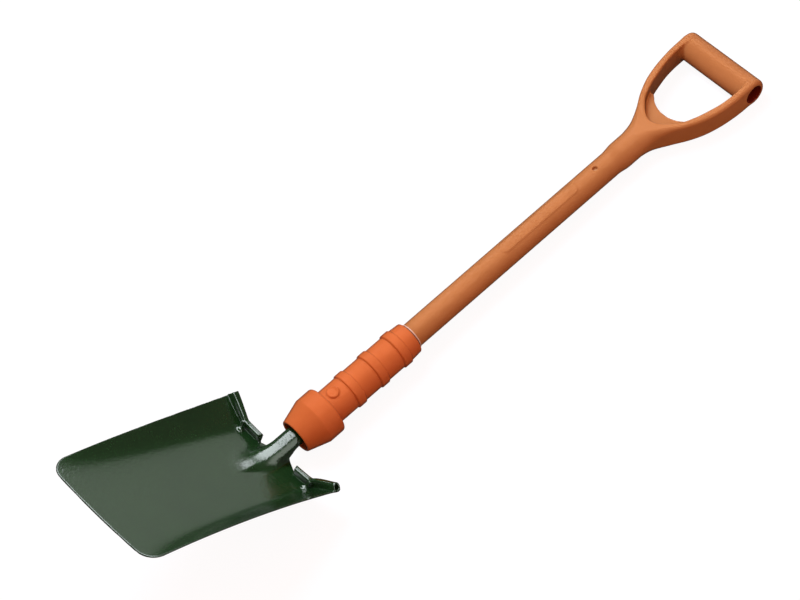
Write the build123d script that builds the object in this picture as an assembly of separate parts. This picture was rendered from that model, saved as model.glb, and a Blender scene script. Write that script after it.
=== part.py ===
"""Square-mouth shovel with rolled foot treads, an insulating boot and a moulded D handle.

Frame: +Y runs along the shaft from the blade towards the grip, +Z is the front of the blade and up when the
shovel lies on its back, +X is across the width. The origin is the centre of the grip bar's bore.
Lengths are in millimetres. "Reach" is a distance along the shaft from the boot's mouth towards the grip.
"""
from build123d import *
import math
import os

# Driving dimensions
shaft_diameter = 35.0
mouth_to_bar = 765.0          # boot mouth to the centre of the grip bar
blade_length = 315.0          # pan, shoulder to mouth
mouth_width = 194.0
sheet = 2.6                   # thickness of the pan
lift_angle = 37.0             # between the pan and the shaft
fit_gap = 0.05                # radial gap wherever one piece sits in another
overrun = 1.0                 # how far a cutting shape stands clear of what it cuts

# Pan shape
shoulder_flare = 7.0          # how much wider each side is at the shoulder than at the mouth
corner_radius = 24.0
crown = 4.0                   # the pan is this much higher at its edges all the way along
side_height = 23.5            # further rise of the sides at the shoulder
side_build = 2.3              # how early the sides reach their height: 1 is steadily, more is nearer the mouth
bend_at_mouth = 88.0          # half width of the flat floor at the mouth
bend_at_shoulder = 62.0       # and at the shoulder
soft_at_mouth = 16.0          # how gradual the bend between floor and side is at the mouth
soft_at_shoulder = 6.0        # and at the shoulder
pan_origin_reach = -26.0      # where the pan's centre line meets the shoulder
pan_origin_z = -16.3
pan_stations = [-6, 35, 80, 130, 190, 250, blade_length]   # the pan's sections, down it from the shoulder
mouth_margin = 0.01           # how far the plan stands clear of the pan's sides at the mouth
plan_below = 60.0             # the plan's column starts this far behind the pan
plan_column = 140.0           # and is this tall

# Foot treads: the pan's shoulder edge rolled up, forward and down again
tread_inner = 35.0
tread_back = 9.5              # the roll's back and front, down the pan from the shoulder
tread_front = 18.0
tread_tuck = 2.0              # its front face slants back by this much towards its lip
tread_end_shift = 5.0         # its back moves up by this much where it climbs the side
tread_height = 13.0
tread_skew = 0.42             # the roll's inner end is cut aslant, wider at the back
tread_end_lean = 40.0         # its outer end leans inwards by this angle
tread_steps = [-8, -2, 4, 12]  # the roll's sections, across from where the pan's side bends up
lip_gap = 0.8                 # the roll stops this far above the pan
root_overlap = 0.4            # its root starts this far above the pan's back face
throat_half = 8.0             # the pan's edge rises beside the neck, to this half width
throat_rise = 5.0

# Neck and socket, forged in one with the pan
neck_radius = 12.0
neck_spread = 5.0             # how much wider each side becomes where the neck sinks into the pan
frog_length = 44.0            # how far the neck's rib runs along the back of the pan
rib_depth = 4.0
neck_stations = [-68, -58, -40, -26, 0, 24]   # reaches of the neck's sections
socket_radius = 20.0
socket_bore = 16.0
socket_root = 22.0            # reach where the socket's cone leaves the neck
socket_start = 38.0
socket_floor = 55.0
socket_end = 185.0

# Boot
boot_length = 198.0
boot_mouth_radius = 23.6
boot_opening = 19.5
boot_wall = 4.2
boot_top_rounding = 5.0
flare_radius = 33.8
flare_start = 31.0
flare_end = 55.4
flare_rounding = 4.6
body_radius = 24.1
band_radius = 25.8
band_length = 12.4
band_slope = 1.0              # how far the bands' sides lean
band_reaches = [88.6, 128.6, 168.6]
boss_reach = 69.5
boss_radius = 8.5
boss_height = 1.2
head_room_around = 0.4        # clearance for the rivet's head inside the boot, around it and over it
head_room_over = 0.3
ring_thickness = 2.6
ring_height = 1.6

# Handle moulding and its core
core_radius = 12.0
core_bore = 8.5
core_start = 60.0
core_end = 625.0
plug_length = 14.0
plug_clearance = 12.0         # from the rivet to the lower plug
panel_start = 362.0
panel_end = 499.0
panel_half_width = 8.5
panel_height = 0.3
panel_curve = 23.0            # radius of its top
sight_hole_reach = 534.0
sight_hole_radius = 3.2
swell_radius = 19.6
swell_start = 560.0
swell_full = 578.0
grip_start = 600.0
lead_in_length = 40.0         # over which the grip goes from round to flat-sided
lead_in_radius = 37.6
core_cover = 630.0            # the round section is solid to here, inside the grip's crotch

# Grip
bar_radius = 20.0
bar_waist_radius = 19.4       # between the cheeks
bar_waist_shift = 0.4         # the waist lies on the side of the hand opening
bar_half = 64.0
bar_bore = 13.0
arm_half_depth = 18.3
arm_outside = [(22.4, 620), (30.5, 640), (42.6, 660), (52.2, 680), (58.2, 700), (62.9, 730)]  # half width, reach
arm_inside = [(41.8, 682), (47.5, 702), (52, 726)]
arm_flat_from = 650.0         # reaches between which the arms have their full depth
arm_flat_to = 740.0
arm_inner = 53.6              # half width of the hand opening beside the bar
web_half_thickness = 5.0
web_edge = 660.5              # the web's free edge crosses the shaft's axis here, as an arc
web_edge_radius = 45.0
web_edge_swing = 48.0         # degrees to each side
pocket_bottom = 636.5
pocket_rim = [(17, 644.5), (27, 658)]   # half width and reach of the pocket's edge as it climbs to the arms

# Rivet through the socket, the handle and the core
rivet_radius = 3.5
rivet_head_radius = 6.5
rivet_head_height = 2.4
shank_overlap = 0.1           # the shank reaches this far into its heads
rivet_head_sink = 0.9         # the head's edge reaches down beside the round socket

shaft_radius = shaft_diameter / 2
mouth_y = -mouth_to_bar
lift = math.radians(lift_angle)


def along(reach):
    """The Y coordinate of a point this far from the boot's mouth."""
    return mouth_y + reach


# ---- blade head ----
pan_plane = Plane(
    origin=(0, along(pan_origin_reach), pan_origin_z),
    x_dir=(1, 0, 0),
    z_dir=(0, math.sin(lift), math.cos(lift)),
)  # its local X is across the pan, its local Y runs back up to the shaft, its local Z is the front


def pan_point(x, down, height):
    """A point given across the pan, down it from the shoulder, and in front of its centre line."""
    return pan_plane.from_local_coords(Vector(x, -down, height))


def half_width(down):
    rise = 1 - down / blade_length
    return mouth_width / 2 + shoulder_flare * rise**3


def ramp(value, softness):
    """Nothing below zero, climbing with the value above it, with a rounded bend between."""
    return (value + math.hypot(value, softness)) / 2


def pan_height(x, down):
    """Height of the pan's front face over its centre line: a slight crown, and sides that turn up."""
    rise = min(1.0, 1 - down / blade_length)
    edge = half_width(down)
    bend = bend_at_mouth + (bend_at_shoulder - bend_at_mouth) * rise
    softness = soft_at_mouth + (soft_at_shoulder - soft_at_mouth) * rise
    side = side_height * (1 - (1 - rise) ** side_build)
    return crown * (x / edge) ** 2 + side * ramp(abs(x) - bend, softness) / ramp(edge - bend, softness)


def pan_section(down):
    """Thin closed section across the pan at one distance from the shoulder."""
    edge = half_width(down)
    stations = [edge * step / 12 for step in range(-12, 13)]
    front = Spline([pan_point(x, down, pan_height(x, down)) for x in stations])
    back = Spline([pan_point(x, down, pan_height(x, down) - sheet) for x in stations])
    left = Line(front @ 0, back @ 0)
    right = Line(front @ 1, back @ 1)
    return Face(Wire([front, right, back, left]))


def make_pan():
    body = loft([pan_section(down) for down in pan_stations])
    plan_origin = pan_plane.origin - pan_plane.z_dir * plan_below
    plan = Plane(origin=plan_origin, x_dir=pan_plane.x_dir, z_dir=pan_plane.z_dir)
    fold = -(tread_back + sheet / 2)
    end_fold = fold + tread_end_shift
    shoulder_half = mouth_width / 2 + shoulder_flare + overrun
    mouth_half = mouth_width / 2 + mouth_margin
    right = [
        (throat_half, throat_rise),
        (tread_inner - 1, fold),
        (bend_at_shoulder, fold),
        (shoulder_half, end_fold),
        (mouth_half, -blade_length),
    ]
    left = [(-x, y) for x, y in reversed(right)]
    sketch = make_face(Polyline([*right, *left], close=True))
    mouth_corners = sketch.vertices().sort_by(Axis.Y)[:2]
    sketch = fillet(mouth_corners, corner_radius)
    return body & extrude(plan * sketch, plan_column)


def tread_section(x, skew):
    """The roll at one place along the tread: up from the pan's edge, forward, and down to just above the pan."""
    middle = (tread_back + tread_front) / 2
    base = pan_height(x, middle)
    steepness = pan_height(x + 0.5, middle) - pan_height(x - 0.5, middle)
    climb = min(1.0, max(0.0, (x - bend_at_shoulder) / (half_width(middle) - bend_at_shoulder)))
    back = tread_back - tread_end_shift * climb
    front = tread_front - tread_end_shift / 2 * climb
    lip_front = front - tread_tuck * (1 - climb)
    lip = base + lip_gap
    root = base - sheet + root_overlap
    top = base + tread_height * math.hypot(1, steepness)
    corners = [
        (back, root),
        (back, top),
        (front, top),
        (lip_front, lip),
        (lip_front - sheet, lip),
        (front - sheet, top - sheet),
        (back + sheet, top - sheet),
        (back + sheet, root),
    ]
    points = [pan_point(x + skew * (down - middle), down, height) for down, height in corners]
    return Face(Wire(Polyline(points, close=True).edges()))


def make_tread():
    """The right-hand roll: flat beside the neck, then climbing the pan's side, with a slanted outer end."""
    outer = half_width(tread_back)
    stations = [*(bend_at_shoulder + step for step in tread_steps), outer + 2 * overrun]
    roll = loft([tread_section(tread_inner, tread_skew), *[tread_section(x, 0) for x in stations]], ruled=True)
    across = Plane(origin=pan_plane.origin, x_dir=(1, 0, 0), z_dir=(0, -math.cos(lift), math.sin(lift)))
    edge_height = crown + side_height
    above = 2 * side_height
    beyond = outer + 2 * side_height
    waste = Polyline(
        (outer, -side_height),
        (outer, edge_height),
        (outer - above * math.tan(math.radians(tread_end_lean)), edge_height + above),
        (beyond, edge_height + above),
        (beyond, -side_height),
        close=True,
    )
    return roll - extrude(across * make_face(waste), tread_front + overrun)


def neck_section(reach):
    """Oval section of the neck. Past the shoulder it sinks into the pan and leaves a rib on its back."""
    past = max(0.0, pan_origin_reach - reach)
    before = min(1.0, max(0.0, reach / pan_origin_reach))
    half = neck_radius + neck_spread * past / frog_length
    pan_front = pan_origin_z + past * math.tan(lift)
    heel = pan_origin_z - sheet - rib_depth
    top = neck_radius if pan_front < neck_radius else pan_front - sheet / 2
    bottom = -neck_radius + (heel + neck_radius) * before
    if past > 0:
        bottom = pan_front - sheet - rib_depth * (1 - past / frog_length)
    middle = (top + bottom) / 2
    points = []
    for step in range(8):
        turn = math.radians(45 * step)
        points.append((half * math.cos(turn), along(reach), middle + (top - middle) * math.sin(turn)))
    return Face(Wire([Spline(points, periodic=True)]))


def make_neck_and_socket():
    neck = loft([neck_section(reach) for reach in neck_stations])
    profile = Polyline(
        (0, along(socket_root)),
        (neck_radius, along(socket_root)),
        (socket_radius, along(socket_start)),
        (socket_radius, along(socket_end)),
        (socket_bore, along(socket_end)),
        (socket_bore, along(socket_floor)),
        (0, along(socket_floor)),
        close=True,
    )
    socket = revolve(make_face(profile), Axis.Y)
    return neck + socket - rivet_shank(rivet_radius + fit_gap)


def rivet_shank(radius):
    """A bar along Z at the rivet's place."""
    return Pos(0, along(boss_reach), 0) * Cylinder(radius, 2 * flare_radius)


def make_blade_head():
    tread = make_tread()
    return make_pan() + tread + mirror(tread, Plane.YZ) + make_neck_and_socket()


# ---- boot ----
def make_boot():
    outside = [
        (boot_opening, 0),
        (boot_mouth_radius, 0),
        (flare_radius, flare_start),
        (flare_radius, flare_end),
        (body_radius, flare_end + band_slope),
    ]
    for reach in band_reaches:
        outside += [
            (body_radius, reach - band_slope / 2),
            (band_radius, reach + band_slope / 2),
            (band_radius, reach + band_length - band_slope),
            (body_radius, reach + band_length + band_slope),
        ]
    cavity_radius = socket_radius + fit_gap
    shoulder_reach = socket_end + overrun
    outside += [
        (body_radius, boot_length),
        (shaft_radius + fit_gap, boot_length),
        (shaft_radius + fit_gap, shoulder_reach),
        (cavity_radius, shoulder_reach),
        (cavity_radius, flare_end - overrun),
        (flare_radius - boot_wall, flare_end - boot_wall - flare_rounding / 2),
        (flare_radius - boot_wall, flare_start),
    ]
    profile = make_face(Polyline([(radius, along(reach)) for radius, reach in outside], close=True))
    for corner, rounding in (
        ((flare_radius, along(flare_end)), flare_rounding),
        ((body_radius, along(boot_length)), boot_top_rounding),
    ):
        profile = fillet(profile.vertices().sort_by_distance(corner)[:1], rounding)
    boot = revolve(profile, Axis.Y)
    boss = Cylinder(boss_radius, 2 * (body_radius + boss_height))
    inside = Rot(90, 0, 0) * Cylinder(body_radius - overrun, 4 * boss_radius)
    head_reach = socket_radius + rivet_head_height + head_room_over
    head_room = Cylinder(rivet_head_radius + head_room_around, 2 * head_reach)
    return boot + Pos(0, along(boss_reach), 0) * (boss - inside) - Pos(0, along(boss_reach), 0) * head_room


def make_seal_ring():
    """Soft ring that closes the boot's top against the shaft."""
    ring = Cylinder(shaft_radius + ring_height, ring_thickness) - Cylinder(shaft_radius + fit_gap, ring_thickness)
    return Pos(0, along(boot_length + ring_thickness / 2 + fit_gap), 0) * Rot(90, 0, 0) * ring


# ---- handle ----
def make_sleeve():
    """The round part of the moulding: the spigot in the socket, the shaft and the swell below the grip."""
    spigot = socket_bore - fit_gap
    swell = Spline(
        (shaft_radius, along(swell_start)),
        (swell_radius, along(swell_full)),
        tangents=[(0, 1), (0, 1)],
    )
    outline = Polyline(
        (swell_radius, along(swell_full)),
        (swell_radius, along(core_cover)),
        (0, along(core_cover)),
        (0, along(socket_floor + overrun)),
        (spigot, along(socket_floor + overrun)),
        (spigot, along(socket_end + overrun / 2)),
        (shaft_radius, along(socket_end + 2 * overrun)),
        (shaft_radius, along(swell_start)),
    )
    return revolve(make_face([*swell.edges(), *outline.edges()]), Axis.Y)


def make_panel():
    """Low raised panel along the front of the shaft, flatter than the shaft and with round ends."""
    middle = (panel_start + panel_end) / 2
    plan = SlotOverall(panel_end - panel_start, 2 * panel_half_width, rotation=90)
    column = Pos(0, along(middle), 0) * extrude(plan, shaft_diameter)
    tube = Cylinder(panel_curve, panel_end - panel_start + 2 * overrun)
    return column & (Pos(0, along(middle), shaft_radius + panel_height - panel_curve) * Rot(90, 0, 0) * tube)


def grip_outline():
    """Outer plan of the grip: from the shaft, out along both arms, and square across behind the bar."""
    right = Spline(
        (swell_radius, along(grip_start)),
        *((half, along(reach)) for half, reach in arm_outside),
        (bar_half, along(mouth_to_bar)),
        tangents=[(0, 1), (0, 1)],
    )
    left = mirror(right, Plane.YZ)
    top = Polyline((bar_half, 0), (bar_half, bar_radius), (-bar_half, bar_radius), (-bar_half, 0))
    base = Line((-swell_radius, along(grip_start)), (swell_radius, along(grip_start)))
    return make_face([*right.edges(), *top.edges(), *left.edges(), base])


def opening_walls():
    """Inner faces of the two arms, from the ends of the web's edge to beyond the bar, and the line joining them."""
    swing = math.radians(web_edge_swing)
    foot = (web_edge_radius * math.sin(swing), along(web_edge + web_edge_radius * (1 - math.cos(swing))))
    right = Spline(foot, *((half, along(reach)) for half, reach in arm_inside), (arm_inner, 0))
    past_bar = bar_radius + overrun
    end = Polyline((arm_inner, 0), (arm_inner, past_bar), (-arm_inner, past_bar), (-arm_inner, 0))
    left = mirror(right, Plane.YZ)
    return foot, [*right.edges(), *end.edges(), *left.edges()]


def opening_outline():
    """Plan of the hand opening, which goes right through."""
    foot, walls = opening_walls()
    edge = ThreePointArc((-foot[0], foot[1]), (0, along(web_edge)), foot)
    return make_face([*walls, edge])


def pocket_outline():
    """Plan of the pocket that thins the grip's crotch to a web, front and back."""
    foot, walls = opening_walls()
    rim = [(half, along(reach)) for half, reach in pocket_rim]
    dip = Spline((0, along(pocket_bottom)), *rim, foot, tangents=[(1, 0), (0.5, 1)])
    return make_face([*walls, *dip.edges(), *mirror(dip, Plane.YZ).edges()])


def make_lead_in():
    """Limit on the grip's root: a cone that trims its corners where it grows out of the round swell."""
    profile = Polyline(
        (0, along(grip_start - 2 * overrun)),
        (swell_radius, along(grip_start - 2 * overrun)),
        (swell_radius, along(grip_start)),
        (lead_in_radius, along(grip_start + lead_in_length)),
        (2 * bar_half, along(grip_start + lead_in_length)),
        (2 * bar_half, 2 * bar_radius),
        (0, 2 * bar_radius),
        close=True,
    )
    return revolve(make_face(profile), Axis.Y)


def make_grip():
    depth = 2 * bar_radius
    body = Pos(0, 0, -bar_radius) * extrude(grip_outline(), depth)
    front_edge = [
        (along(grip_start - overrun), swell_radius),
        (along(arm_flat_from), arm_half_depth),
        (along(arm_flat_to), arm_half_depth),
        (0, bar_radius),
        (bar_radius, bar_radius),
    ]
    back_edge = [(y, -z) for y, z in reversed(front_edge)]
    side_plane = Plane(origin=(-bar_half - overrun, 0, 0), x_dir=(0, 1, 0), z_dir=(1, 0, 0))
    envelope = make_face(Polyline([*front_edge, *back_edge], close=True))
    body = body & extrude(side_plane * envelope, 2 * (bar_half + overrun)) & make_lead_in()
    behind = Pos(0, bar_radius, 0) * Box(2 * (bar_half + overrun), 2 * bar_radius, 3 * bar_radius)
    body = body - behind + Rot(0, 90, 0) * Cylinder(bar_radius, 2 * bar_half)
    through = Pos(0, 0, -bar_radius - overrun) * extrude(opening_outline(), depth + 2 * overrun)
    pocket = extrude(pocket_outline(), depth)
    front_pocket = Pos(0, 0, web_half_thickness) * pocket
    back_pocket = Pos(0, 0, -web_half_thickness - depth) * pocket
    bar = Pos(0, bar_waist_shift, 0) * Rot(0, 90, 0) * Cylinder(bar_waist_radius, 2 * bar_half - 2 * overrun)
    bore = Rot(0, 90, 0) * Cylinder(bar_bore, 2 * (bar_half + overrun))
    return body - through - front_pocket - back_pocket + bar - bore


def make_handle():
    core_room = Pos(0, along((core_start + core_end) / 2), 0) * Rot(90, 0, 0) * Cylinder(
        core_radius + fit_gap, core_end - core_start + overrun
    )
    hole_depth = shaft_radius - core_radius + overrun
    sight_hole = Pos(0, along(sight_hole_reach), shaft_radius) * Cylinder(sight_hole_radius, 2 * hole_depth)
    return make_sleeve() + make_panel() + make_grip() - core_room - sight_hole - rivet_shank(rivet_radius + fit_gap)


def make_core():
    length = core_end - core_start
    tube = Cylinder(core_radius, length) - Cylinder(core_bore, length)
    tube = Pos(0, along((core_start + core_end) / 2), 0) * Rot(90, 0, 0) * tube
    return tube - rivet_shank(rivet_radius + fit_gap)


def make_core_plug(start):
    """A plug in the core tube, from this reach on."""
    plug = Rot(90, 0, 0) * Cylinder(core_bore - fit_gap, plug_length)
    return Pos(0, along(start + plug_length / 2), 0) * plug


def make_rivet():
    head_at = socket_radius + fit_gap
    shank = Cylinder(rivet_radius, 2 * (head_at + shank_overlap))
    head = Cylinder(rivet_head_radius, rivet_head_height)
    shift = head_at + rivet_head_height / 2 - rivet_head_sink
    flat = Rot(90, 0, 0) * Cylinder(socket_radius + fit_gap, 4 * rivet_head_radius)
    heads = Pos(0, 0, shift) * head + Pos(0, 0, -shift) * head
    return Pos(0, along(boss_reach), 0) * (heads - flat + shank)


pieces = {
    "blade_head": make_blade_head(),
    "insulating_boot": make_boot(),
    "boot_seal_ring": make_seal_ring(),
    "socket_rivet": make_rivet(),
    "handle_moulding": make_handle(),
    "core_tube": make_core(),
    "core_plug_lower": make_core_plug(boss_reach + plug_clearance),
    "core_plug_upper": make_core_plug(core_end - plug_length),
}

os.makedirs("parts", exist_ok=True)
for name, piece in pieces.items():
    export_step(piece, f"parts/{name}.step")
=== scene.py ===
"""Looks of the insulated shovel: the coated blade, the boot, its seal ring and the handle moulding.

The blade and the handle are closed meshes drawn from a signed field: a function that is negative inside
the piece, zero on its surface, and about the distance to it elsewhere. Joining and cutting fields with a
blend gives the soft edges of a forging or a moulding. The other pieces are turned from a profile. All is
worked out in millimetres in the frame's axes, and each mesh is scaled to metres.
"""
import math

import bpy
import numpy as np
from mathutils import Matrix, Vector


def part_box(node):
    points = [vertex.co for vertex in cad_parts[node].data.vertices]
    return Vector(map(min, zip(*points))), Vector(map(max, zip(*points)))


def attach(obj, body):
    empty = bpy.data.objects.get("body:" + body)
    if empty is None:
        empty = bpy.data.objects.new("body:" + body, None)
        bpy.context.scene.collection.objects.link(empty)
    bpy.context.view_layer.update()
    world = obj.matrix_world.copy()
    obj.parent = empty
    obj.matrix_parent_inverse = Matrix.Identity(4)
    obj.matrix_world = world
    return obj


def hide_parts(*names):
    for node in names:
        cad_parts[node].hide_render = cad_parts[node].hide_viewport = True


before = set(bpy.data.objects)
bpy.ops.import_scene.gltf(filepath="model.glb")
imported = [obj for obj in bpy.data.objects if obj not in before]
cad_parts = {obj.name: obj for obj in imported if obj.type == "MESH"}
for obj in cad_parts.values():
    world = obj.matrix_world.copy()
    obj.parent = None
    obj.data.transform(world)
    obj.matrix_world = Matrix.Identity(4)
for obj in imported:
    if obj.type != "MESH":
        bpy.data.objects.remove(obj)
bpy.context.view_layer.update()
MM = 0.001


# ---- the frame, in millimetres ----
def box_mm(node):
    low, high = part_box(node)
    return np.array(low) / MM, np.array(high) / MM


boot_low, boot_high = box_mm("insulating_boot")
handle_high = box_mm("handle_moulding")[1]
ring_low, ring_high = box_mm("boot_seal_ring")
blade_low, blade_high = box_mm("blade_head")

MOUTH_Y = boot_low[1]                    # the boot's mouth; "reach" is the distance from it towards the grip
BOOT_LENGTH = boot_high[1] - MOUTH_Y
FLARE_RADIUS = boot_high[0]
BAR_REACH = -MOUTH_Y                     # the grip bar's axis is at the origin
BAR_RADIUS = handle_high[1]
BAR_HALF = handle_high[0]
SHAFT_RADIUS = 17.5

LIFT = math.radians(37)                  # between the pan and the shaft
BLADE_LENGTH = 315.0
SHEET = 2.6                              # thickness of the pan
PAN_ORIGIN_Z = -16.3                     # height of the pan's centre line at the shoulder
DOWN = np.array([0, -math.cos(LIFT), math.sin(LIFT)])    # from the shoulder to the mouth, along the pan
FRONT = np.array([0, math.sin(LIFT), math.cos(LIFT)])    # out of the pan's front face
CROWN = 4.0                              # the pan dips this much in the middle, even without its side walls
pan_origin_y = blade_low[1] + BLADE_LENGTH * math.cos(LIFT) + SHEET * math.sin(LIFT)
PAN_ORIGIN = np.array([0, pan_origin_y, PAN_ORIGIN_Z])


# ---- field tools ----
def smooth_step(low, high, value):
    t = np.clip((value - low) / (high - low), 0, 1)
    return t * t * (3 - 2 * t)


def join(a, b, blend):
    """Union of two fields with a fillet of about this size where they meet."""
    h = np.clip(0.5 + 0.5 * (b - a) / blend, 0, 1)
    return b + (a - b) * h - blend * h * (1 - h)


def common(a, b, blend):
    """Intersection of two fields with a rounded edge."""
    return -join(-a, -b, blend)


def cut(a, b, blend):
    """Field a with field b taken away, with a rounded edge."""
    return common(a, -b, blend)


def rounded_box(dx, dy, half_x, half_y, radius):
    """Distance in a plane to a rectangle with round corners, from offsets to its centre."""
    qx = np.abs(dx) - half_x + radius
    qy = np.abs(dy) - half_y + radius
    outside = np.hypot(np.maximum(qx, 0), np.maximum(qy, 0))
    return outside + np.minimum(np.maximum(qx, qy), 0) - radius


def smooth_curve(knots, values, at):
    """Smooth curve through a few points: cubic pieces whose slopes follow the neighbouring points."""
    knots = np.array(knots, float)
    values = np.array(values, float)
    slopes = np.gradient(values, knots)
    piece = np.clip(np.searchsorted(knots, at) - 1, 0, len(knots) - 2)
    gap = knots[piece + 1] - knots[piece]
    t = np.clip((at - knots[piece]) / gap, 0, 1)
    start = (1 + 2 * t) * (1 - t) ** 2 * values[piece] + t * (1 - t) ** 2 * gap * slopes[piece]
    end = t * t * (3 - 2 * t) * values[piece + 1] + t * t * (t - 1) * gap * slopes[piece + 1]
    return start + end


def plan_distance(outline, low, high, step=0.5):
    """Signed distance to a closed plan outline, tabulated once and then read between grid points."""
    xs = np.arange(low[0], high[0] + step, step)
    ys = np.arange(low[1], high[1] + step, step)
    px, py = np.meshgrid(xs, ys, indexing="ij")
    nearest = np.full(px.shape, np.inf)
    inside = np.zeros(px.shape, bool)
    for (ax, ay), (bx, by) in zip(outline, np.roll(outline, -1, axis=0)):
        ex, ey = bx - ax, by - ay
        length_squared = max(ex * ex + ey * ey, 1e-9)
        t = np.clip(((px - ax) * ex + (py - ay) * ey) / length_squared, 0, 1)
        nearest = np.minimum(nearest, np.hypot(px - ax - t * ex, py - ay - t * ey))
        if ey:
            crosses = ((ay > py) != (by > py)) & (px < ax + (py - ay) * ex / ey)
            inside ^= crosses
    table = np.where(inside, -nearest, nearest)

    def read(x, y):
        i = np.clip((x - low[0]) / step, 0, len(xs) - 1.001)
        j = np.clip((y - low[1]) / step, 0, len(ys) - 1.001)
        i0, j0 = i.astype(int), j.astype(int)
        u, v = i - i0, j - j0
        lower = table[i0, j0] * (1 - u) + table[i0 + 1, j0] * u
        upper = table[i0, j0 + 1] * (1 - u) + table[i0 + 1, j0 + 1] * u
        return lower * (1 - v) + upper * v

    return read


# ---- from a field to a mesh ----
BLOCK = 20                               # lattice cells along a block's side
FIELD_STRETCH = 1.35                     # how far a field's value may exceed the true distance
PROBE = 0.02                             # step for a field's slope
SETTLE_ROUNDS = 3


def near_blocks(field, low, counts, cell):
    """Lattice blocks that the surface may pass through."""
    starts = [np.arange(0, n, BLOCK) for n in counts]
    corner = np.stack(np.meshgrid(*starts, indexing="ij"), -1).reshape(-1, 3)
    middle = low + (corner + BLOCK / 2) * cell
    reach = BLOCK * cell * math.sqrt(3) / 2
    value = field(*middle.T)
    return corner[np.abs(value) < reach * FIELD_STRETCH + cell]


def block_crossings(field, low, corner, stride, cell):
    """Quads and edge crossings in one block, with lattice cells as whole-number ids."""
    steps = np.arange(BLOCK + 1)
    index = np.stack(np.meshgrid(*(corner[a] + steps for a in range(3)), indexing="ij"), -1)
    point = low + index * cell
    value = field(point[..., 0], point[..., 1], point[..., 2])
    quads, ids, spots = [], [], []
    for axis in range(3):
        first = [slice(0, BLOCK)] * 3
        second = list(first)
        second[axis] = slice(1, BLOCK + 1)
        a, b = value[tuple(first)], value[tuple(second)]
        hit = (a < 0) != (b < 0)
        if not hit.any():
            continue
        at = index[tuple(first)][hit]
        t = a[hit] / (a[hit] - b[hit])
        spot = low + at * cell
        spot[:, axis] += t * cell
        across = [(axis + 1) % 3, (axis + 2) % 3]
        ring = []
        for du, dv in ((1, 1), (0, 1), (0, 0), (1, 0)):
            neighbour = at.copy()
            neighbour[:, across[0]] -= du
            neighbour[:, across[1]] -= dv
            ring.append(neighbour @ stride)
        quad = np.stack(ring, 1)
        outward = a[hit] < 0
        quads.append(np.where(outward[:, None], quad, quad[:, ::-1]))
        ids.append(quad.ravel())
        spots.append(np.repeat(spot, 4, axis=0))
    return quads, ids, spots


def settle(field, points, cell):
    """Moves each point onto the surface along the field's slope."""
    for _ in range(SETTLE_ROUNDS):
        value = field(*points.T)
        slope = np.empty_like(points)
        for axis in range(3):
            ahead, behind = points.copy(), points.copy()
            ahead[:, axis] += PROBE
            behind[:, axis] -= PROBE
            slope[:, axis] = (field(*ahead.T) - field(*behind.T)) / (2 * PROBE)
        steep = np.maximum((slope**2).sum(1), 0.05)
        move = -slope * (value / steep)[:, None]
        length = np.linalg.norm(move, axis=1)
        limit = 0.4 * cell
        points = points + move * np.minimum(1, limit / np.maximum(length, 1e-9))[:, None]
    return points


def make_piece(name, points, faces):
    """Smooth-shaded mesh object from points in millimetres."""
    mesh = bpy.data.meshes.new(name)
    mesh.from_pydata((points * MM).tolist(), [], faces.tolist())
    mesh.validate()
    mesh.shade_smooth()
    piece = bpy.data.objects.new(name, mesh)
    bpy.context.scene.collection.objects.link(piece)
    return piece


def mesh_from_field(name, field, low, high, cell):
    """Closed mesh of the field's zero surface: one vertex per lattice cell that the surface crosses."""
    low, high = np.array(low, float), np.array(high, float)
    counts = np.ceil((high - low) / cell).astype(int) + 1
    stride = np.array([(counts[1] + 9) * (counts[2] + 9), counts[2] + 9, 1])
    quads, ids, spots = [], [], []
    for corner in near_blocks(field, low, counts, cell):
        more = block_crossings(field, low, corner, stride, cell)
        quads += more[0]
        ids += more[1]
        spots += more[2]
    quads, ids, spots = np.concatenate(quads), np.concatenate(ids), np.concatenate(spots)
    cells, ids = np.unique(ids, return_inverse=True)
    total = np.bincount(ids)
    points = np.stack([np.bincount(ids, spots[:, axis]) / total for axis in range(3)], 1)
    points = settle(field, points, cell)
    return make_piece(name, points, np.searchsorted(cells, quads))


# ---- turned pieces ----
def fillet_path(corners, step=1.2):
    """Closed path of (radius, reach) in fine steps, through corners of (radius, reach, rounding)."""
    path = []
    count = len(corners)
    for i, (r, s, rounding) in enumerate(corners):
        here = np.array([r, s])
        back = np.array(corners[i - 1][:2]) - here
        ahead = np.array(corners[(i + 1) % count][:2]) - here
        back_length, ahead_length = np.linalg.norm(back), np.linalg.norm(ahead)
        back, ahead = back / back_length, ahead / ahead_length
        half = math.acos(np.clip(back @ ahead, -1, 1)) / 2
        setback = min(rounding / math.tan(half), 0.48 * min(back_length, ahead_length)) if rounding else 0
        if setback == 0:
            path.append(here)
            continue
        start, end = here + back * setback, here + ahead * setback
        arcs = max(3, round(setback / 0.5))
        for k in range(arcs + 1):
            t = k / arcs
            path.append(start * (1 - t) ** 2 + here * 2 * t * (1 - t) + end * t * t)
    fine = []
    for a, b in zip(path, path[1:] + path[:1]):
        pieces = max(1, round(float(np.linalg.norm(b - a)) / step))
        fine += [a + (b - a) * k / pieces for k in range(pieces)]
    return np.array(fine)


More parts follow.
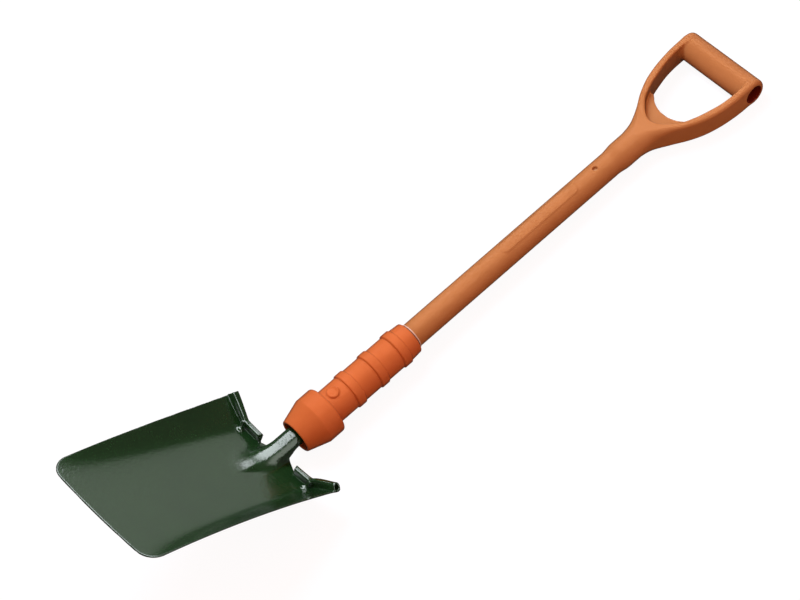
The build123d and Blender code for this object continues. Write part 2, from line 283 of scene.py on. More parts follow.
def turned(name, corners, segments, step=1.2, shape=None):
    """Closed piece turned about the shaft's axis; shape may move its points (an array, millimetres)."""
    path = fillet_path(corners, step)
    turn = np.arange(segments) * 2 * math.pi / segments
    x = path[:, None, 0] * np.sin(turn)
    z = path[:, None, 0] * np.cos(turn)
    y = np.repeat(path[:, None, 1], segments, axis=1) + MOUTH_Y
    points = np.stack([x, y, z], -1).reshape(-1, 3)
    if shape:
        points = shape(points)
    ring = np.arange(len(path))[:, None] * segments
    around = np.arange(segments)[None, :]
    following = (np.arange(len(path))[:, None] + 1) % len(path) * segments
    ahead = (around + 1) % segments
    faces = np.stack([ring + around, ring + ahead, following + ahead, following + around], -1).reshape(-1, 4)
    return make_piece(name, points, faces)


# ---- blade ----
MOUTH_HALF = 97.0
SHOULDER_FLARE = 7.0                     # the blade's half width grows by this much up to the shoulder
SIDE_HEIGHT = 23.5
SIDE_BUILD = 2.3                         # how early the sides reach their height, from the mouth
BEND_MOUTH = 88.0                        # how far out the side walls begin, at the mouth and at the shoulder
BEND_SHOULDER = 62.0
SOFT_MOUTH = 16                          # how gradual that bend is, at the mouth and at the shoulder
SOFT_SHOULDER = 6
CORNER_RADIUS = 24.0
TREAD_INNER = 35.0
TREAD_KINK = 63.5                        # where the tread stops being straight and climbs the side wall
TREAD_CLIMBED = 98.0                     # and where it has taken its outer shape
TREAD_SOFT_KINK = 3.0                    # how gradual that bend is
TREAD_BACK_SHIFT = 5.0                   # as it climbs, its back edge moves up the shaft by this much
TREAD_FRONT_SHIFT = 2.5                  # and its front edge by this much
TREAD_LEAN_BACK = 5.5                    # its front's foot is this far behind its front's top
TREAD_TILT = 0.26                        # its top slopes down towards the front by this much
TREAD_SKEW = 0.42                        # its inner end is cut aslant
TREAD_SHARP = 1.3                        # rounding of its edges
TREAD_TUBE = 3.2                         # extra rounding of the right-hand one's outer end
TREAD_FRONT = 18.0                       # its top's two edges, down the pan from the shoulder
TREAD_BACK = 9.5
TREAD_TALL = 12.8
TREAD_SINK = 1.2                         # its root reaches this far into the pan
TREAD_END_LEAN = math.radians(40)        # its outer end leans inwards
THROAT_SLOPE = 0.55                      # how fast the pan's edge falls away from the neck
NECK_RADIUS = 12.0
NECK_WIDENING = 4.0                      # its half width grows by this much where it meets the pan
HEEL_DEPTH = 9.0                         # and its back by this much
NECK_INSIDE = 42.0                       # how far it reaches into the boot
NECK_END = 110.0                         # how far it runs down under the pan, from the boot's mouth
RIB_DEPTH = 4.0                          # how far it stands out of the pan's back
PAN_ORIGIN_REACH = PAN_ORIGIN[1] - MOUTH_Y
PUCKER_OUT = 62.0                        # bulge where a tread bends: how far out, how far down, how high
PUCKER_DOWN = 21.0
PUCKER_HEIGHT = 2.0
PUCKER_RADIUS = 4.6


def rise_at(down):
    """0 at the mouth, 1 at the shoulder."""
    return np.clip(1 - down / BLADE_LENGTH, 0, 1.05)


def half_width(down):
    return MOUTH_HALF + SHOULDER_FLARE * rise_at(down) ** 3


def ramp(value, softness):
    """Zero on one side, climbing in step with the value on the other, with a rounded bend between."""
    return (value + np.hypot(value, softness)) / 2


def pan_height(x, down):
    """Height of the pan's front face over its centre line."""
    rise = rise_at(down)
    edge = half_width(down)
    across = np.minimum(np.abs(x), edge + 2)
    bend = BEND_MOUTH - (BEND_MOUTH - BEND_SHOULDER) * rise
    softness = SOFT_MOUTH + (SOFT_SHOULDER - SOFT_MOUTH) * rise
    wall = SIDE_HEIGHT * (1 - (1 - np.minimum(rise, 1)) ** SIDE_BUILD)
    return CROWN * (across / edge) ** 2 + wall * ramp(across - bend, softness) / ramp(edge - bend, softness)


def to_pan(x, y, z):
    """Distance along the pan from its shoulder, and height over its flat centre."""
    offset_y, offset_z = y - PAN_ORIGIN[1], z - PAN_ORIGIN[2]
    return offset_y * DOWN[1] + offset_z * DOWN[2], offset_y * FRONT[1] + offset_z * FRONT[2]


def neck_field(x, y, z, height):
    """Bar in line with the shaft: round in the boot, wider where it sinks into the pan, with a heel."""
    reach = y - MOUTH_Y
    half = NECK_RADIUS + NECK_WIDENING * smooth_step(28, 70, -reach)
    heel = HEEL_DEPTH * smooth_step(4, 34, -reach)
    tall = NECK_RADIUS + heel / 2
    bar = rounded_box(x, z + heel / 2, half, tall, NECK_RADIUS)
    rib = RIB_DEPTH * smooth_step(-95, -40, reach)
    back = -height - SHEET - rib
    bar = common(bar, back - 99 * smooth_step(10, 20, reach - PAN_ORIGIN_REACH), 2)
    return common(bar, np.maximum(reach - NECK_INSIDE, -NECK_END - reach), 3)


def tread_back(side):
    """Back of the tread, down the pan: nearer the shoulder's end where the tread climbs the side wall."""
    return TREAD_BACK - TREAD_BACK_SHIFT * smooth_step(TREAD_KINK, TREAD_CLIMBED, side)


def tread_floor(side):
    """What the tread stands on: like the pan's front face, but with a sharper bend at the kink."""
    edge = MOUTH_HALF + SHOULDER_FLARE
    across = np.minimum(side, edge)
    wall = ramp(across - TREAD_KINK, TREAD_SOFT_KINK) / ramp(edge - TREAD_KINK, TREAD_SOFT_KINK)
    return CROWN * (across / edge) ** 2 + (SIDE_HEIGHT - 0.4) * wall


def tread_field(x, down, height, limits):
    """Hollow tread, open at both ends: straight beside the neck, then climbing the side wall."""
    side = np.abs(x)
    climb = smooth_step(TREAD_KINK, TREAD_CLIMBED, side)
    surface = tread_floor(side)
    slope = tread_floor(side + 0.5) - tread_floor(side - 0.5)
    tilt = TREAD_TILT * (1 - climb) * (down - TREAD_FRONT + 4)
    over = (height - surface) / np.sqrt(1 + slope**2) + tilt
    tall = TREAD_TALL - 2 * climb
    lean_back = TREAD_LEAN_BACK * (1 - climb) * np.clip(1 - over / tall, 0, 1)
    front = TREAD_FRONT - TREAD_FRONT_SHIFT * climb - lean_back
    back = tread_back(side)
    middle = (front + back) / 2
    half_tall = (tall - SHEET / 2 + TREAD_SINK) / 2
    corner = TREAD_SHARP + np.where(x > 0, TREAD_TUBE, 0) * climb**2
    half_long = (front - back - SHEET) / 2
    section = rounded_box(down - middle, over - (half_tall - TREAD_SINK), half_long, half_tall, corner)
    wall = np.abs(section) - SHEET / 2
    inner_end = TREAD_INNER + TREAD_SKEW * (down - 16) - side
    edge_height = CROWN + SIDE_HEIGHT
    outward = side - half_width(down)
    outer_end = outward * math.cos(TREAD_END_LEAN) + (height - edge_height) * math.sin(TREAD_END_LEAN)
    return common(wall, np.maximum(inner_end, np.maximum(outer_end, limits)), 0.9)


def pucker_field(x, down, height):
    """Small bulge where each tread bends up the side wall, and the crease that goes on from the right one."""
    side = np.abs(x)
    across = (side - PUCKER_OUT) / 1.1
    bulge = np.hypot(np.hypot(across, down - PUCKER_DOWN), height - PUCKER_HEIGHT) - PUCKER_RADIUS
    up = np.clip(height - 3, 0, 9)
    stalk = np.hypot(np.hypot(side - 62.5 - 0.25 * up, down - 20 + 0.25 * up), height - 3 - up) - 2.0
    run = np.clip((down - 20) / 34, 0, 1)
    wander = 64 + 34 * run + 2 * np.sin(run * 9) - side
    crease = np.hypot(0.7 * wander, height - pan_height(side, down) + 0.2) - 1.5
    crease = np.maximum(crease, np.maximum(np.abs(down - 39) - 19, -x))
    return np.minimum(np.minimum(bulge, stalk), crease)


def blade_field(x, y, z):
    down, height = to_pan(x, y, z)
    side = np.abs(x)
    surface = pan_height(side, down)
    slope_x = pan_height(side + 0.5, down) - pan_height(side - 0.5, down)
    slope_v = pan_height(side, down + 0.5) - pan_height(side, down - 0.5)
    over = (height - surface) / np.sqrt(1 + slope_x**2 + slope_v**2)

    # plan of the pan: sides, rounded mouth corners, and the shoulder edge
    edge = half_width(down)
    corner_x = side - (edge - CORNER_RADIUS)
    corner_v = down - (BLADE_LENGTH - CORNER_RADIUS)
    outside = np.hypot(np.maximum(corner_x, 0), np.maximum(corner_v, 0)) - CORNER_RADIUS
    plan = np.where((corner_x > 0) & (corner_v > 0), outside, np.maximum(corner_x, corner_v) - CORNER_RADIUS)
    shoulder = join(tread_back(side) + 1.5, THROAT_SLOPE * side - TREAD_BACK, 3)

    neck = neck_field(x, y, z, height)
    spread = 12 + 14 * smooth_step(0, 25, down)
    front = join(over, neck, spread * (1 - 0.55 * smooth_step(2, 14, x)))
    pan = np.maximum(front, -over - SHEET)
    pan = common(pan, np.maximum(plan, shoulder - down), 1.2)
    blade = join(pan, neck, 6 - 5 * np.clip(x / 12, -1, 1))
    blade = join(blade, tread_field(x, down, height, np.maximum(plan, -over - SHEET)), 1.6)
    return join(blade, pucker_field(x, down, height), 1.8)


def make_blade():
    low = [-108, blade_low[1] - 4, blade_low[2] - 8]
    high = [108, MOUTH_Y + 46, blade_high[2] + 6]
    return mesh_from_field("blade", blade_field, low, high, 1.15)


def make_socket():
    corners = [(0.5, 40, 0), (13, 34, 2), (20, 44, 3), (20, 185, 1), (16, 185, 1), (16, 55, 2), (0.5, 55, 0)]
    return turned("blade_socket", corners, 96, 4)


# ---- boot ----
BOOT_BODY = 24.1                         # radius between the bands
BAND_RADIUS = 25.8
BANDS = [88.6, 128.6, 168.6]             # where each raised band starts
BAND_LENGTH = 12.4
BOSS_REACH = 69.5                        # round boss: its middle, radius, height, and dished top
BOSS_RADIUS = 8.5
BOSS_HEIGHT = 2.2
BOSS_DISH = 0.7
FLARE_START = 31.0
FLARE_END = 55.4
SEAL_SHADOW_WIDTH = 2.3                           # painted shadow: a dark ring this long stands for the shade between the boot and the pale ring


def raise_boss(points):
    """Round boss on the front of the boot, with a shallow dished middle."""
    radius = np.hypot(points[:, 0], points[:, 2])
    outer = (radius > BOOT_BODY - 0.4) & (points[:, 2] > 0)
    away = np.hypot(points[:, 0], points[:, 1] - MOUTH_Y - BOSS_REACH)
    lift = BOSS_HEIGHT * (1 - smooth_step(BOSS_RADIUS - 0.8, BOSS_RADIUS + 0.2, away))
    lift -= BOSS_DISH * (1 - smooth_step(4.6, 6.2, away))
    lift = np.where(outer, lift, 0) / radius
    points[:, 0] += lift * points[:, 0]
    points[:, 2] += lift * points[:, 2]
    return points


def make_boot():
    corners = [
        (20.0, 0.2, 1.4),
        (24.2, 0.2, 1.5),
        (FLARE_RADIUS, FLARE_START, 6),
        (FLARE_RADIUS, FLARE_END, 4.6),
        (BOOT_BODY, FLARE_END + 0.6, 1.0),
    ]
    for band in BANDS:
        corners += [
            (BOOT_BODY, band - 1.7, 0.3),
            (BOOT_BODY - 1.1, band - 0.8, 0.2),
            (BAND_RADIUS, band + 0.6, 0.5),
            (BAND_RADIUS, band + BAND_LENGTH - 1.2, 0.9),
            (BOOT_BODY, band + BAND_LENGTH + 0.8, 0.9),
        ]
    corners += [
        (BOOT_BODY - 1.3, BOOT_LENGTH + 0.6, 8.5),
        (SHAFT_RADIUS + 0.5, BOOT_LENGTH + 0.6, 0.8),
        (SHAFT_RADIUS + 0.3, 187, 0),
        (20.1, 186, 0),
        (20.1, FLARE_END - 1, 1),
        (FLARE_RADIUS - 4, FLARE_END - 6, 4),
        (FLARE_RADIUS - 4, FLARE_START, 4),
    ]
    return turned("boot", corners, 224, 0.9, raise_boss)


def make_seal_shadow():
    """Painted shadow: a dark ring that stands for the shade in the joint, seen as a thin line between the
    boot and the pale ring.
    """
    start = ring_low[1] - MOUTH_Y
    corners = [
        (SHAFT_RADIUS - 0.3, start - 1.0, 0),
        (SHAFT_RADIUS + 1.0, start - 1.0, 0),
        (SHAFT_RADIUS + 1.0, start + SEAL_SHADOW_WIDTH + 0.1, 0.3),
        (SHAFT_RADIUS - 0.3, start + SEAL_SHADOW_WIDTH + 0.1, 0),
    ]
    return turned("seal_painted_shadow", corners, 128, 0.5)


def make_seal_ring():
    start, end = ring_low[1] - MOUTH_Y + SEAL_SHADOW_WIDTH, ring_high[1] - MOUTH_Y + 1.4
    corners = [
        (SHAFT_RADIUS, start, 0),
        (ring_high[0] - 0.5, start, 0.4),
        (ring_high[0] - 0.9, end, 0.5),
        (SHAFT_RADIUS, end, 0),
    ]
    return turned("seal_ring", corners, 128, 0.5)


# ---- handle ----
SWELL_RADIUS = 19.6                      # where the shaft grows into the grip
ARM_DEPTH = 18.3                         # half the arms' thickness, from front to back
BAR_BORE = 13.0
BAR_WAIST = 0.6                          # between the arms the bar is thinner and further out by this much
WEB_HALF = 5.0
# the grip's outside: half its width at each of these reaches
ARM_KNOTS = [600, 620, 640, 660, 680, 700, 730, 765]
ARM_OUTSIDE = [19.6, 22.4, 30.5, 42.6, 52.2, 58.2, 62.9, 64]
WEB_EDGE = 660.5                         # reach of the web's free edge in the middle, and its curve
WEB_EDGE_RADIUS = 45.0
OPENING_DRAFT = 0.07                     # the hand opening widens towards the back
PANEL_CURVE = 23.0                       # the label panel is flatter than the shaft
PANEL_MIDDLE = 430.5
PANEL_HALF_LONG = 68.5
PANEL_HALF_WIDE = 8.7
SIGHT_HOLE = 534.0                       # small round hole in the front of the shaft
SIGHT_HOLE_RADIUS = 3.3
SIGHT_HOLE_FLOOR = 13.2
SPIGOT_RADIUS = 15.9                     # thin end of the shaft inside the boot


def mirrored(right):
    """Closed outline from its right half, listed from the bottom up."""
    right = np.array(right)
    return np.concatenate([right, right[::-1] * [-1, 1]])


def grip_plans():
    """Plan fields of what lies past the web's free edge, and of the pocket inside the arms."""
    rim_out = [0, 9, 17, 25, 32.5, 37.3]
    rim_reach = [636.5, 639.2, 644.5, 652, 661, 670.5]
    wall_reach = [670.5, 682, 702, 716, 732, BAR_REACH]
    wall_out = [37.3, 41.8, 47.5, 50.8, 52.9, 53.6]
    climb = np.linspace(wall_reach[0], BAR_REACH, 50)
    walls = [*zip(smooth_curve(wall_reach, wall_out, climb), climb), (wall_out[-1], BAR_REACH + 30)]
    across = np.linspace(0, rim_out[-1], 30)[:-1]
    rim = smooth_curve(rim_out, rim_reach, across)
    swing = np.radians(np.linspace(0, 48, 24))
    web_edge = [
        (WEB_EDGE_RADIUS * math.sin(a), WEB_EDGE + WEB_EDGE_RADIUS * (1 - math.cos(a))) for a in swing
    ]
    low, high = (-60, 630), (60, BAR_REACH + 34)
    pocket = plan_distance(mirrored([*zip(across, rim), *walls]), low, high)
    hole = plan_distance(mirrored([*web_edge, (80, web_edge[-1][1]), (80, BAR_REACH + 30)]), low, high)
    return hole, pocket


web_plan, pocket_plan = grip_plans()


def shaft_field(x, reach, z):
    """Round shaft with its label panel, spigot and sight hole, swelling towards the grip."""
    body = SHAFT_RADIUS + (SWELL_RADIUS - SHAFT_RADIUS) * smooth_step(559, 579, reach)
    body = SPIGOT_RADIUS + (body - SPIGOT_RADIUS) * smooth_step(184.5, 186.5, reach)
    shaft = np.hypot(x, z) - body
    panel_plan = rounded_box(x, reach - PANEL_MIDDLE, PANEL_HALF_WIDE, PANEL_HALF_LONG, 8.5)
    panel_top = np.hypot(x, z + PANEL_CURVE - SHAFT_RADIUS - 0.3) - PANEL_CURVE
    panel = common(common(panel_plan, panel_top, 1.5), -z, 0.5)
    shaft = common(join(shaft, panel, 0.8), np.maximum(56 - reach, reach - 606), 0.5)
    hole = common(np.hypot(x, reach - SIGHT_HOLE) - SIGHT_HOLE_RADIUS, SIGHT_HOLE_FLOOR - z, 0.5)
    return cut(shaft, hole, 0.8)


def grip_body_field(x, reach, z):
    """Grip without its openings: its section goes from round to a wide slab with rounded edges."""
    up = np.clip(reach, ARM_KNOTS[0], BAR_REACH)
    half = smooth_curve(ARM_KNOTS, ARM_OUTSIDE, up)
    slope = smooth_curve(ARM_KNOTS, ARM_OUTSIDE, np.minimum(up + 1, BAR_REACH)) - half
    flatten = smooth_step(600, 655, reach)
    widen = smooth_step(705, 760, reach)
    depth = SWELL_RADIUS + (ARM_DEPTH - SWELL_RADIUS) * flatten + (BAR_RADIUS - ARM_DEPTH) * widen
    front_round = 4.8 + 14.6 * (1 - smooth_step(600, 656, reach)) + 0.6 * widen
    back_round = 5.2 + 14.2 * (1 - smooth_step(600, 645, reach)) + 1.8 * widen
    rounding = np.where(z > 0, front_round, back_round)
    body = rounded_box(x, z, half, depth, np.minimum(rounding, depth - 0.1)) / np.sqrt(1 + slope**2)
    return np.maximum(body, 598 - reach)


def handle_field(x, y, z):
    reach = y - MOUTH_Y
    bar_radius = np.hypot(reach - BAR_REACH, z)
    grip = np.maximum(grip_body_field(x, reach, z), reach - BAR_REACH)
    side = np.abs(x)
    draft = OPENING_DRAFT * (ARM_DEPTH - z) * smooth_step(20, 45, side)
    inside_arms = pocket_plan(side - draft, reach)
    web = np.maximum(np.abs(z) - WEB_HALF, -web_plan(side, reach))
    grip = cut(grip, cut(inside_arms, web, 2.2), 3)
    waist = smooth_step(56, 50, side)
    bar_outside = np.hypot(reach - BAR_REACH - BAR_WAIST * waist, z) - BAR_RADIUS + BAR_WAIST * waist
    bar = common(bar_outside, side - BAR_HALF, 6.5)
    grip = join(grip, bar, 0.8 + 3.2 * smooth_step(58, 52, side))
    whole = np.minimum(shaft_field(x, reach, z), grip)
    return cut(whole, bar_radius - BAR_BORE, 1.2)


def make_handle():
    low = [-BAR_HALF - 4, MOUTH_Y + 52, -BAR_RADIUS - 4]
    high = [BAR_HALF + 4, BAR_RADIUS + 4, BAR_RADIUS + 4]
    return mesh_from_field("handle", handle_field, low, high, 1.1)


# ---- materials ----
class Shader:
    """Small helper that adds nodes to one material and joins them."""

    def __init__(self, name):
        self.material = bpy.data.materials.new(name)
        self.material.use_nodes = True
        self.tree = self.material.node_tree
        self.base = self.tree.nodes["Principled BSDF"]
        self.place = self.node("ShaderNodeTexCoord").outputs["Object"]

    def node(self, kind, **settings):
        made = self.tree.nodes.new(kind)
        for key, value in settings.items():
            setattr(made, key, value)
        return made

    def link(self, source, target):
        self.tree.links.new(source, target)

    def noise(self, size_mm, detail=3.0, roughness=0.55):
        """Noise whose features are about this many millimetres across."""
        made = self.node("ShaderNodeTexNoise")
        made.inputs["Scale"].default_value = 1 / (size_mm * MM)
        made.inputs["Detail"].default_value = detail
        made.inputs["Roughness"].default_value = roughness
        self.link(self.place, made.inputs["Vector"])
        return made.outputs["Fac"]

    def ramp(self, source, *stops):
        made = self.node("ShaderNodeValToRGB")
        elements = made.color_ramp.elements
        for element, (at, colour) in zip(elements, stops[:2]):
            element.position = at
            element.color = (*colour, 1)
        for at, colour in stops[2:]:
            elements.new(at).color = (*colour, 1)
        self.link(source, made.inputs["Fac"])
        return made.outputs["Color"]

    def spread(self, source, low, high, from_low=0.3, from_high=0.7):
        made = self.node("ShaderNodeMapRange")
        for key, value in zip(("From Min", "From Max", "To Min", "To Max"), (from_low, from_high, low, high)):
            made.inputs[key].default_value = value
        self.link(source, made.inputs["Value"])
        return made.outputs["Result"]

    def bump(self, source, depth_mm, strength=1.0, under=None):
        made = self.node("ShaderNodeBump")
        made.inputs["Distance"].default_value = depth_mm * MM
        made.inputs["Strength"].default_value = strength
        self.link(source, made.inputs["Height"])
        if under:
            self.link(under, made.inputs["Normal"])
        return made.outputs["Normal"]

    def painted_edge_shade(self, colour, start, floor):
        """Painted shade: darkens a colour where the surface turns away from the eye, from this facing value
        on.
        """
        facing = self.node("ShaderNodeLayerWeight").outputs["Facing"]
        shade = self.spread(facing, 1.0, floor, start, 1.0)
        mix = self.node("ShaderNodeMix", data_type="RGBA", blend_type="MULTIPLY")
        mix.inputs["Factor"].default_value = 1.0
        self.link(colour, mix.inputs["A"])
        self.link(shade, mix.inputs["B"])
        return mix.outputs["Result"]

    def set(self, **values):
        for key, value in values.items():
            socket = self.base.inputs[key.replace("_", " ")]
            if isinstance(value, bpy.types.NodeSocket):
                self.link(value, socket)
            else:
                socket.default_value = value


def coated_steel():
    """Glossy green powder coat with a fine orange-peel surface."""
    s = Shader("green_powder_coat")
    base = s.ramp(s.noise(60), (0.3, (0.0085, 0.035, 0.0085)), (0.7, (0.0115, 0.043, 0.0105)))
    # painted shade on the coat where it turns away from the eye
    s.set(Base_Color=s.painted_edge_shade(base, 0.7, 0.25))
    s.set(Roughness=s.spread(s.noise(3), 0.15, 0.22))
    broad = s.bump(s.noise(7, 1.0), 0.2)
    peel = s.bump(s.noise(3.2, 1.0), 0.3, 1.0, broad)
    s.set(Normal=peel, Coat_Weight=0.25, Coat_Roughness=0.08)
    return s.material


def moulded_plastic(name, dark, light, roughness):
    """Satin moulding with faint cloudiness and a fine grain, and painted shade where it turns away from the
    eye.
    """
    s = Shader(name)
    # painted shade towards the edges, where the surface turns away from the eye
    s.set(Base_Color=s.painted_edge_shade(s.ramp(s.noise(45, 4.0), (0.3, dark), (0.7, light)), 0.55, 0.12))
    s.set(Roughness=s.spread(s.noise(9), roughness - 0.04, roughness + 0.05))
    grain = s.bump(s.noise(0.8, 2.0), 0.03)
    s.set(Normal=s.bump(s.noise(16, 2.0), 0.25, 1.0, grain))
    s.set(Specular_IOR_Level=0.11)
    return s.material


def paint_shade_and_light_near(material, point_mm, across, near_mm, colour):
    """Paints shade and light into holes: gives all that is this near to a point, or to a line along X,
    another colour.
    """
    tree = material.node_tree
    base = tree.nodes["Principled BSDF"]
    place = tree.nodes.new("ShaderNodeTexCoord")
    offset = tree.nodes.new("ShaderNodeVectorMath")
    offset.operation = "SUBTRACT"
    offset.inputs[1].default_value = [c * MM for c in point_mm]
    tree.links.new(place.outputs["Object"], offset.inputs[0])
    flat = tree.nodes.new("ShaderNodeVectorMath")
    flat.operation = "MULTIPLY"
    flat.inputs[1].default_value = (0, 1, 1) if across else (1, 1, 1)
    tree.links.new(offset.outputs["Vector"], flat.inputs[0])
    length = tree.nodes.new("ShaderNodeVectorMath")
    length.operation = "LENGTH"
    tree.links.new(flat.outputs["Vector"], length.inputs[0])
    fade = tree.nodes.new("ShaderNodeMapRange")
    fade.inputs["From Min"].default_value = near_mm * MM
    fade.inputs["From Max"].default_value = (near_mm + 0.7) * MM
    tree.links.new(length.outputs["Value"], fade.inputs["Value"])
    mix = tree.nodes.new("ShaderNodeMix")
    mix.data_type = "RGBA"
    mix.inputs["A"].default_value = (*colour, 1)
    tree.links.new(fade.outputs["Result"], mix.inputs["Factor"])
    tree.links.new(base.inputs["Base Color"].links[0].from_socket, mix.inputs["B"])
    tree.links.new(mix.outputs["Result"], base.inputs["Base Color"])


def plain(name, colour, roughness, metallic=0.0):
    """Finish of the hidden pieces: one colour broken up by a fine grain."""
    s = Shader(name)
    darker = tuple(0.8 * c for c in colour)
    s.set(Base_Color=s.ramp(s.noise(6), (0.3, darker), (0.7, colour)))
    s.set(Roughness=roughness, Metallic=metallic, Normal=s.bump(s.noise(1.5), 0.05))
    return s.material


def dress(piece, material):
    piece.data.materials.clear()
    piece.data.materials.append(material)


# ---- assembly ----
green = coated_steel()
orange = moulded_plastic("boot_orange", (0.57, 0.147, 0.033), (0.625, 0.168, 0.040), 0.42)
tan = moulded_plastic("handle_tan", (0.450, 0.187, 0.052), (0.505, 0.216, 0.065), 0.4)
# painted shade: the bar's bore is coloured dark brown, standing for the shade inside it
paint_shade_and_light_near(tan, (0, 0, 0), True, BAR_BORE + 0.4, (0.16, 0.016, 0.006))
# painted light: the sight hole's floor is coloured a lighter tan than the moulding, standing for light
# reaching it
paint_shade_and_light_near(tan, (0, MOUTH_Y + SIGHT_HOLE, SIGHT_HOLE_FLOOR), False, 3.2, (0.62, 0.33, 0.13))
seal = plain("seal_white", (0.82, 0.58, 0.40), 0.6)
# painted shadow: near-black finish of the ring piece that stands for the shade at the seal
painted_seal_shadow = plain("painted_seal_shadow", (0.10, 0.03, 0.015), 0.7)

blade = make_blade()
socket = make_socket()
boot = make_boot()
ring = make_seal_ring()
# dark ring piece that is a painted shadow at the seal
seal_shadow_piece = make_seal_shadow()
handle = make_handle()
for piece, node, slot, material in (
    (blade, "blade_head", "coated_steel", green),
    (socket, "blade_head", "coated_steel", green),
    (boot, "insulating_boot", "boot_rubber", orange),
    (ring, "boot_seal_ring", "pale_seal", seal),
    (seal_shadow_piece, "boot_seal_ring", "pale_seal", painted_seal_shadow),
    (handle, "handle_moulding", "handle_plastic", tan),
):
    dress(piece, material)
    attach(piece, "root")
    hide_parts(node)

dress(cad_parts["core_tube"], plain("glass_fibre", (0.8, 0.77, 0.66), 0.5))
plug_black = plain("plug_black", (0.05, 0.05, 0.05), 0.5)
dress(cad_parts["core_plug_lower"], plug_black)
dress(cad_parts["core_plug_upper"], plug_black)
dress(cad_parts["socket_rivet"], plain("rivet_steel", (0.5, 0.5, 0.52), 0.35, 1.0))


# ---- stage ----
FLOOR_HALF = 14.0                        # metres, so that its edge stays out of the picture
FLOOR_GLOW = 0.93                        # how white the floor looks to the camera


def area_light(name, place, aim, size, watts, colour):
    light = bpy.data.lights.new(name, "AREA")
    light.shape = "DISK"
    light.size = size
    light.energy = watts
    light.color = colour
    holder = bpy.data.objects.new(name, light)
    holder.location = place
    holder.rotation_euler = (Vector(aim) - Vector(place)).to_track_quat("-Z", "Y").to_euler()
    bpy.context.scene.collection.objects.link(holder)
    return holder


def make_floor():
    """Pale floor that the shovel lies on: it touches the boot's flare and the grip, so it tips slightly."""
    flare_point = Vector((0, (MOUTH_Y + FLARE_START) * MM, -FLARE_RADIUS * MM))
    grip_point = Vector((0, 0, -BAR_RADIUS * MM))
    along = (grip_point - flare_point).normalized()
    mesh = bpy.data.meshes.new("floor")
    corners = [(sx * FLOOR_HALF, sy * FLOOR_HALF, 0) for sx, sy in ((-1, -1), (1, -1), (1, 1), (-1, 1))]
    mesh.from_pydata(corners, [], [(0, 1, 2, 3)])
    floor = bpy.data.objects.new("floor", mesh)
    bpy.context.scene.collection.objects.link(floor)
    floor.location = flare_point
    floor.rotation_euler = (math.atan2(along.z, along.y), 0, 0)
    floor.visible_glossy = False
    s = Shader("floor_white")
    s.set(Base_Color=s.ramp(s.noise(400), (0.3, (0.1, 0.1, 0.1)), (0.7, (0.12, 0.12, 0.12))), Roughness=0.9)
    s.set(Specular_IOR_Level=0.0)
    eye = s.node("ShaderNodeLightPath").outputs["Is Camera Ray"]
    s.set(Emission_Color=(1, 1, 1, 1), Emission_Strength=s.spread(eye, 0.0, FLOOR_GLOW, 0.0, 1.0))
    floor.data.materials.append(s.material)


def make_camera():
    """135 mm lens, looking down on the front of the blade from its right and mouth side, rolled left."""
    heading, elevation, roll = math.radians(60.6), math.radians(56.5), math.radians(-15.6)
    distance = 3.877
    aim = Vector((-0.0514, -0.5366, 0.0003))
    level = math.cos(elevation)
    forward = Vector((-math.sin(heading) * level, math.cos(heading) * level, -math.sin(elevation)))
    right = Vector((math.cos(heading), math.sin(heading), 0))
    up = right.cross(forward)
    turn = Matrix((right, up, -forward)).transposed() @ Matrix.Rotation(roll, 3, "Z")
    data = bpy.data.cameras.new("camera")
    data.lens = 135
    data.sensor_width = 36
    data.clip_end = 60
    camera = bpy.data.objects.new("camera", data)
    camera.matrix_world = Matrix.Translation(aim - forward * distance) @ turn.to_4x4()
    bpy.context.scene.collection.objects.link(camera)
    bpy.context.scene.camera = camera


ROOM_LIGHT = 0.485
ROOM_COLOUR = (1.75, 0.88, 0.74)         # warm, and seen by matt surfaces only
KEY_WATTS = 61
KEY_COLOUR = (0.70, 0.96, 1.32)
# Panels: strength, then round windows with soft edges as (direction, inner angle, outer angle) in degrees.
# A panel is the overlap of its windows.
DIM_PANELS = [
    (0.54, [((-0.48, 0.88, -0.03), 9, 22)]),         # what the pan mirrors
    (0.40, [((-0.48, 0.80, 0.36), 6, 24)]),          # the soft end of the neck's highlight
    (2.6, [((0.93, 0.25, 0.2), 15, 40)]),            # the neck's right flank
]
NECK_WINDOWS = [((-0.25, -0.05, 0.967), 46, 51), ((0, 1, 0), 79, 85), ((0, -1, 0), 118, 140)]
BRIGHT_PANELS = [
    (10.0, NECK_WINDOWS),                            # the neck's highlight
    (6.5, [((-0.48, 0.775, 0.41), 4, 9)]),           # the tops of the treads
]


def sky_patch(tree, direction, inner, outer):
    """Soft round patch of sky about a direction: 1 inside the inner angle, 0 outside the outer one."""
    place = tree.nodes.new("ShaderNodeTexCoord")
    dot = tree.nodes.new("ShaderNodeVectorMath")
    dot.operation = "DOT_PRODUCT"
    dot.inputs[1].default_value = Vector(direction).normalized()
    tree.links.new(place.outputs["Generated"], dot.inputs[0])
    fade = tree.nodes.new("ShaderNodeMapRange")
    fade.interpolation_type = "SMOOTHSTEP"
    fade.inputs["From Min"].default_value = math.cos(math.radians(outer))
    fade.inputs["From Max"].default_value = math.cos(math.radians(inner))
    tree.links.new(dot.outputs["Value"], fade.inputs["Value"])
    return fade.outputs["Result"]


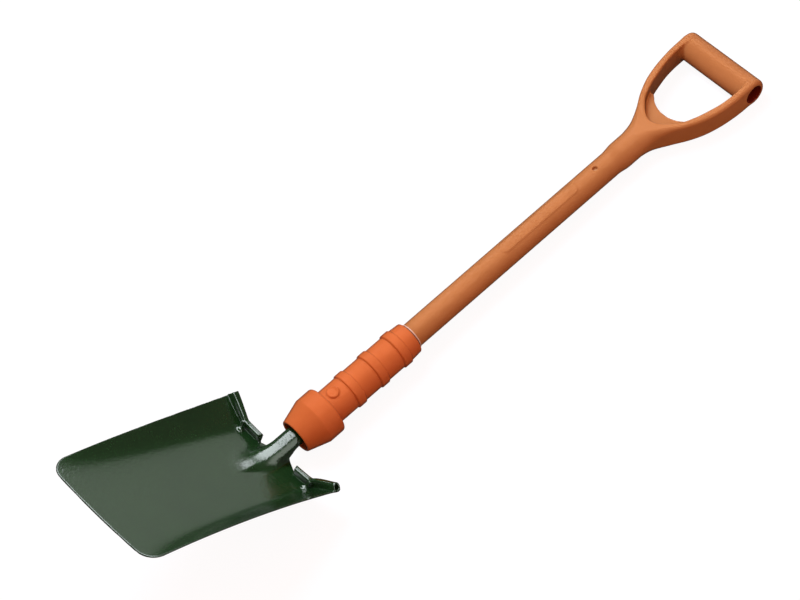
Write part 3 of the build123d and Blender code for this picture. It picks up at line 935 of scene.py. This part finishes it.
def panel_sky(tree, colour, level, panels):
    """Sky of one colour with soft panels over an even level; a panel is the overlap of its round windows."""
    sky = tree.nodes.new("ShaderNodeBackground")
    sky.inputs["Color"].default_value = (*colour, 1)
    for strength, windows in panels:
        shape = sky_patch(tree, *windows[0])
        for window in windows[1:]:
            overlap = tree.nodes.new("ShaderNodeMath")
            overlap.operation = "MULTIPLY"
            tree.links.new(shape, overlap.inputs[0])
            tree.links.new(sky_patch(tree, *window), overlap.inputs[1])
            shape = overlap.outputs["Value"]
        scaled = tree.nodes.new("ShaderNodeMath")
        scaled.operation = "MULTIPLY_ADD"
        scaled.inputs[1].default_value = strength
        tree.links.new(shape, scaled.inputs[0])
        if isinstance(level, float):
            scaled.inputs[2].default_value = level
        else:
            tree.links.new(level, scaled.inputs[2])
        level = scaled.outputs["Value"]
    tree.links.new(level, sky.inputs["Strength"])
    return sky.outputs["Background"]


def light_stage():
    """White studio: gloss sees a dim room with a few soft panels, so the curved steel shows dark bands."""
    world = bpy.data.worlds.new("studio")
    world.use_nodes = True
    tree = world.node_tree
    mirror = tree.nodes.new("ShaderNodeAddShader")
    tree.links.new(panel_sky(tree, (0.97, 1.05, 0.95), 0.10, DIM_PANELS), mirror.inputs[0])
    tree.links.new(panel_sky(tree, (0.95, 1.0, 1.05), 0.0, BRIGHT_PANELS), mirror.inputs[1])
    room = tree.nodes.new("ShaderNodeBackground")
    room.inputs["Color"].default_value = (*ROOM_COLOUR, 1)
    room.inputs["Strength"].default_value = ROOM_LIGHT
    seen = tree.nodes.new("ShaderNodeBackground")
    seen.inputs["Strength"].default_value = 1.0
    path = tree.nodes.new("ShaderNodeLightPath")
    rays = tree.nodes.new("ShaderNodeMixShader")
    tree.links.new(path.outputs["Is Glossy Ray"], rays.inputs["Fac"])
    tree.links.new(room.outputs["Background"], rays.inputs[1])
    tree.links.new(mirror.outputs["Shader"], rays.inputs[2])
    final = tree.nodes.new("ShaderNodeMixShader")
    tree.links.new(path.outputs["Is Camera Ray"], final.inputs["Fac"])
    tree.links.new(rays.outputs["Shader"], final.inputs[1])
    tree.links.new(seen.outputs["Background"], final.inputs[2])
    tree.links.new(final.outputs["Shader"], tree.nodes["World Output"].inputs["Surface"])
    bpy.context.scene.world = world
    bpy.context.scene.view_settings.view_transform = "Standard"
    middle = (0, -0.5, 0)
    key = area_light("key", (-1.45, -0.3, 2.7), middle, 1.5, KEY_WATTS, KEY_COLOUR)
    key.visible_glossy = False


make_floor()
light_stage()
make_camera()
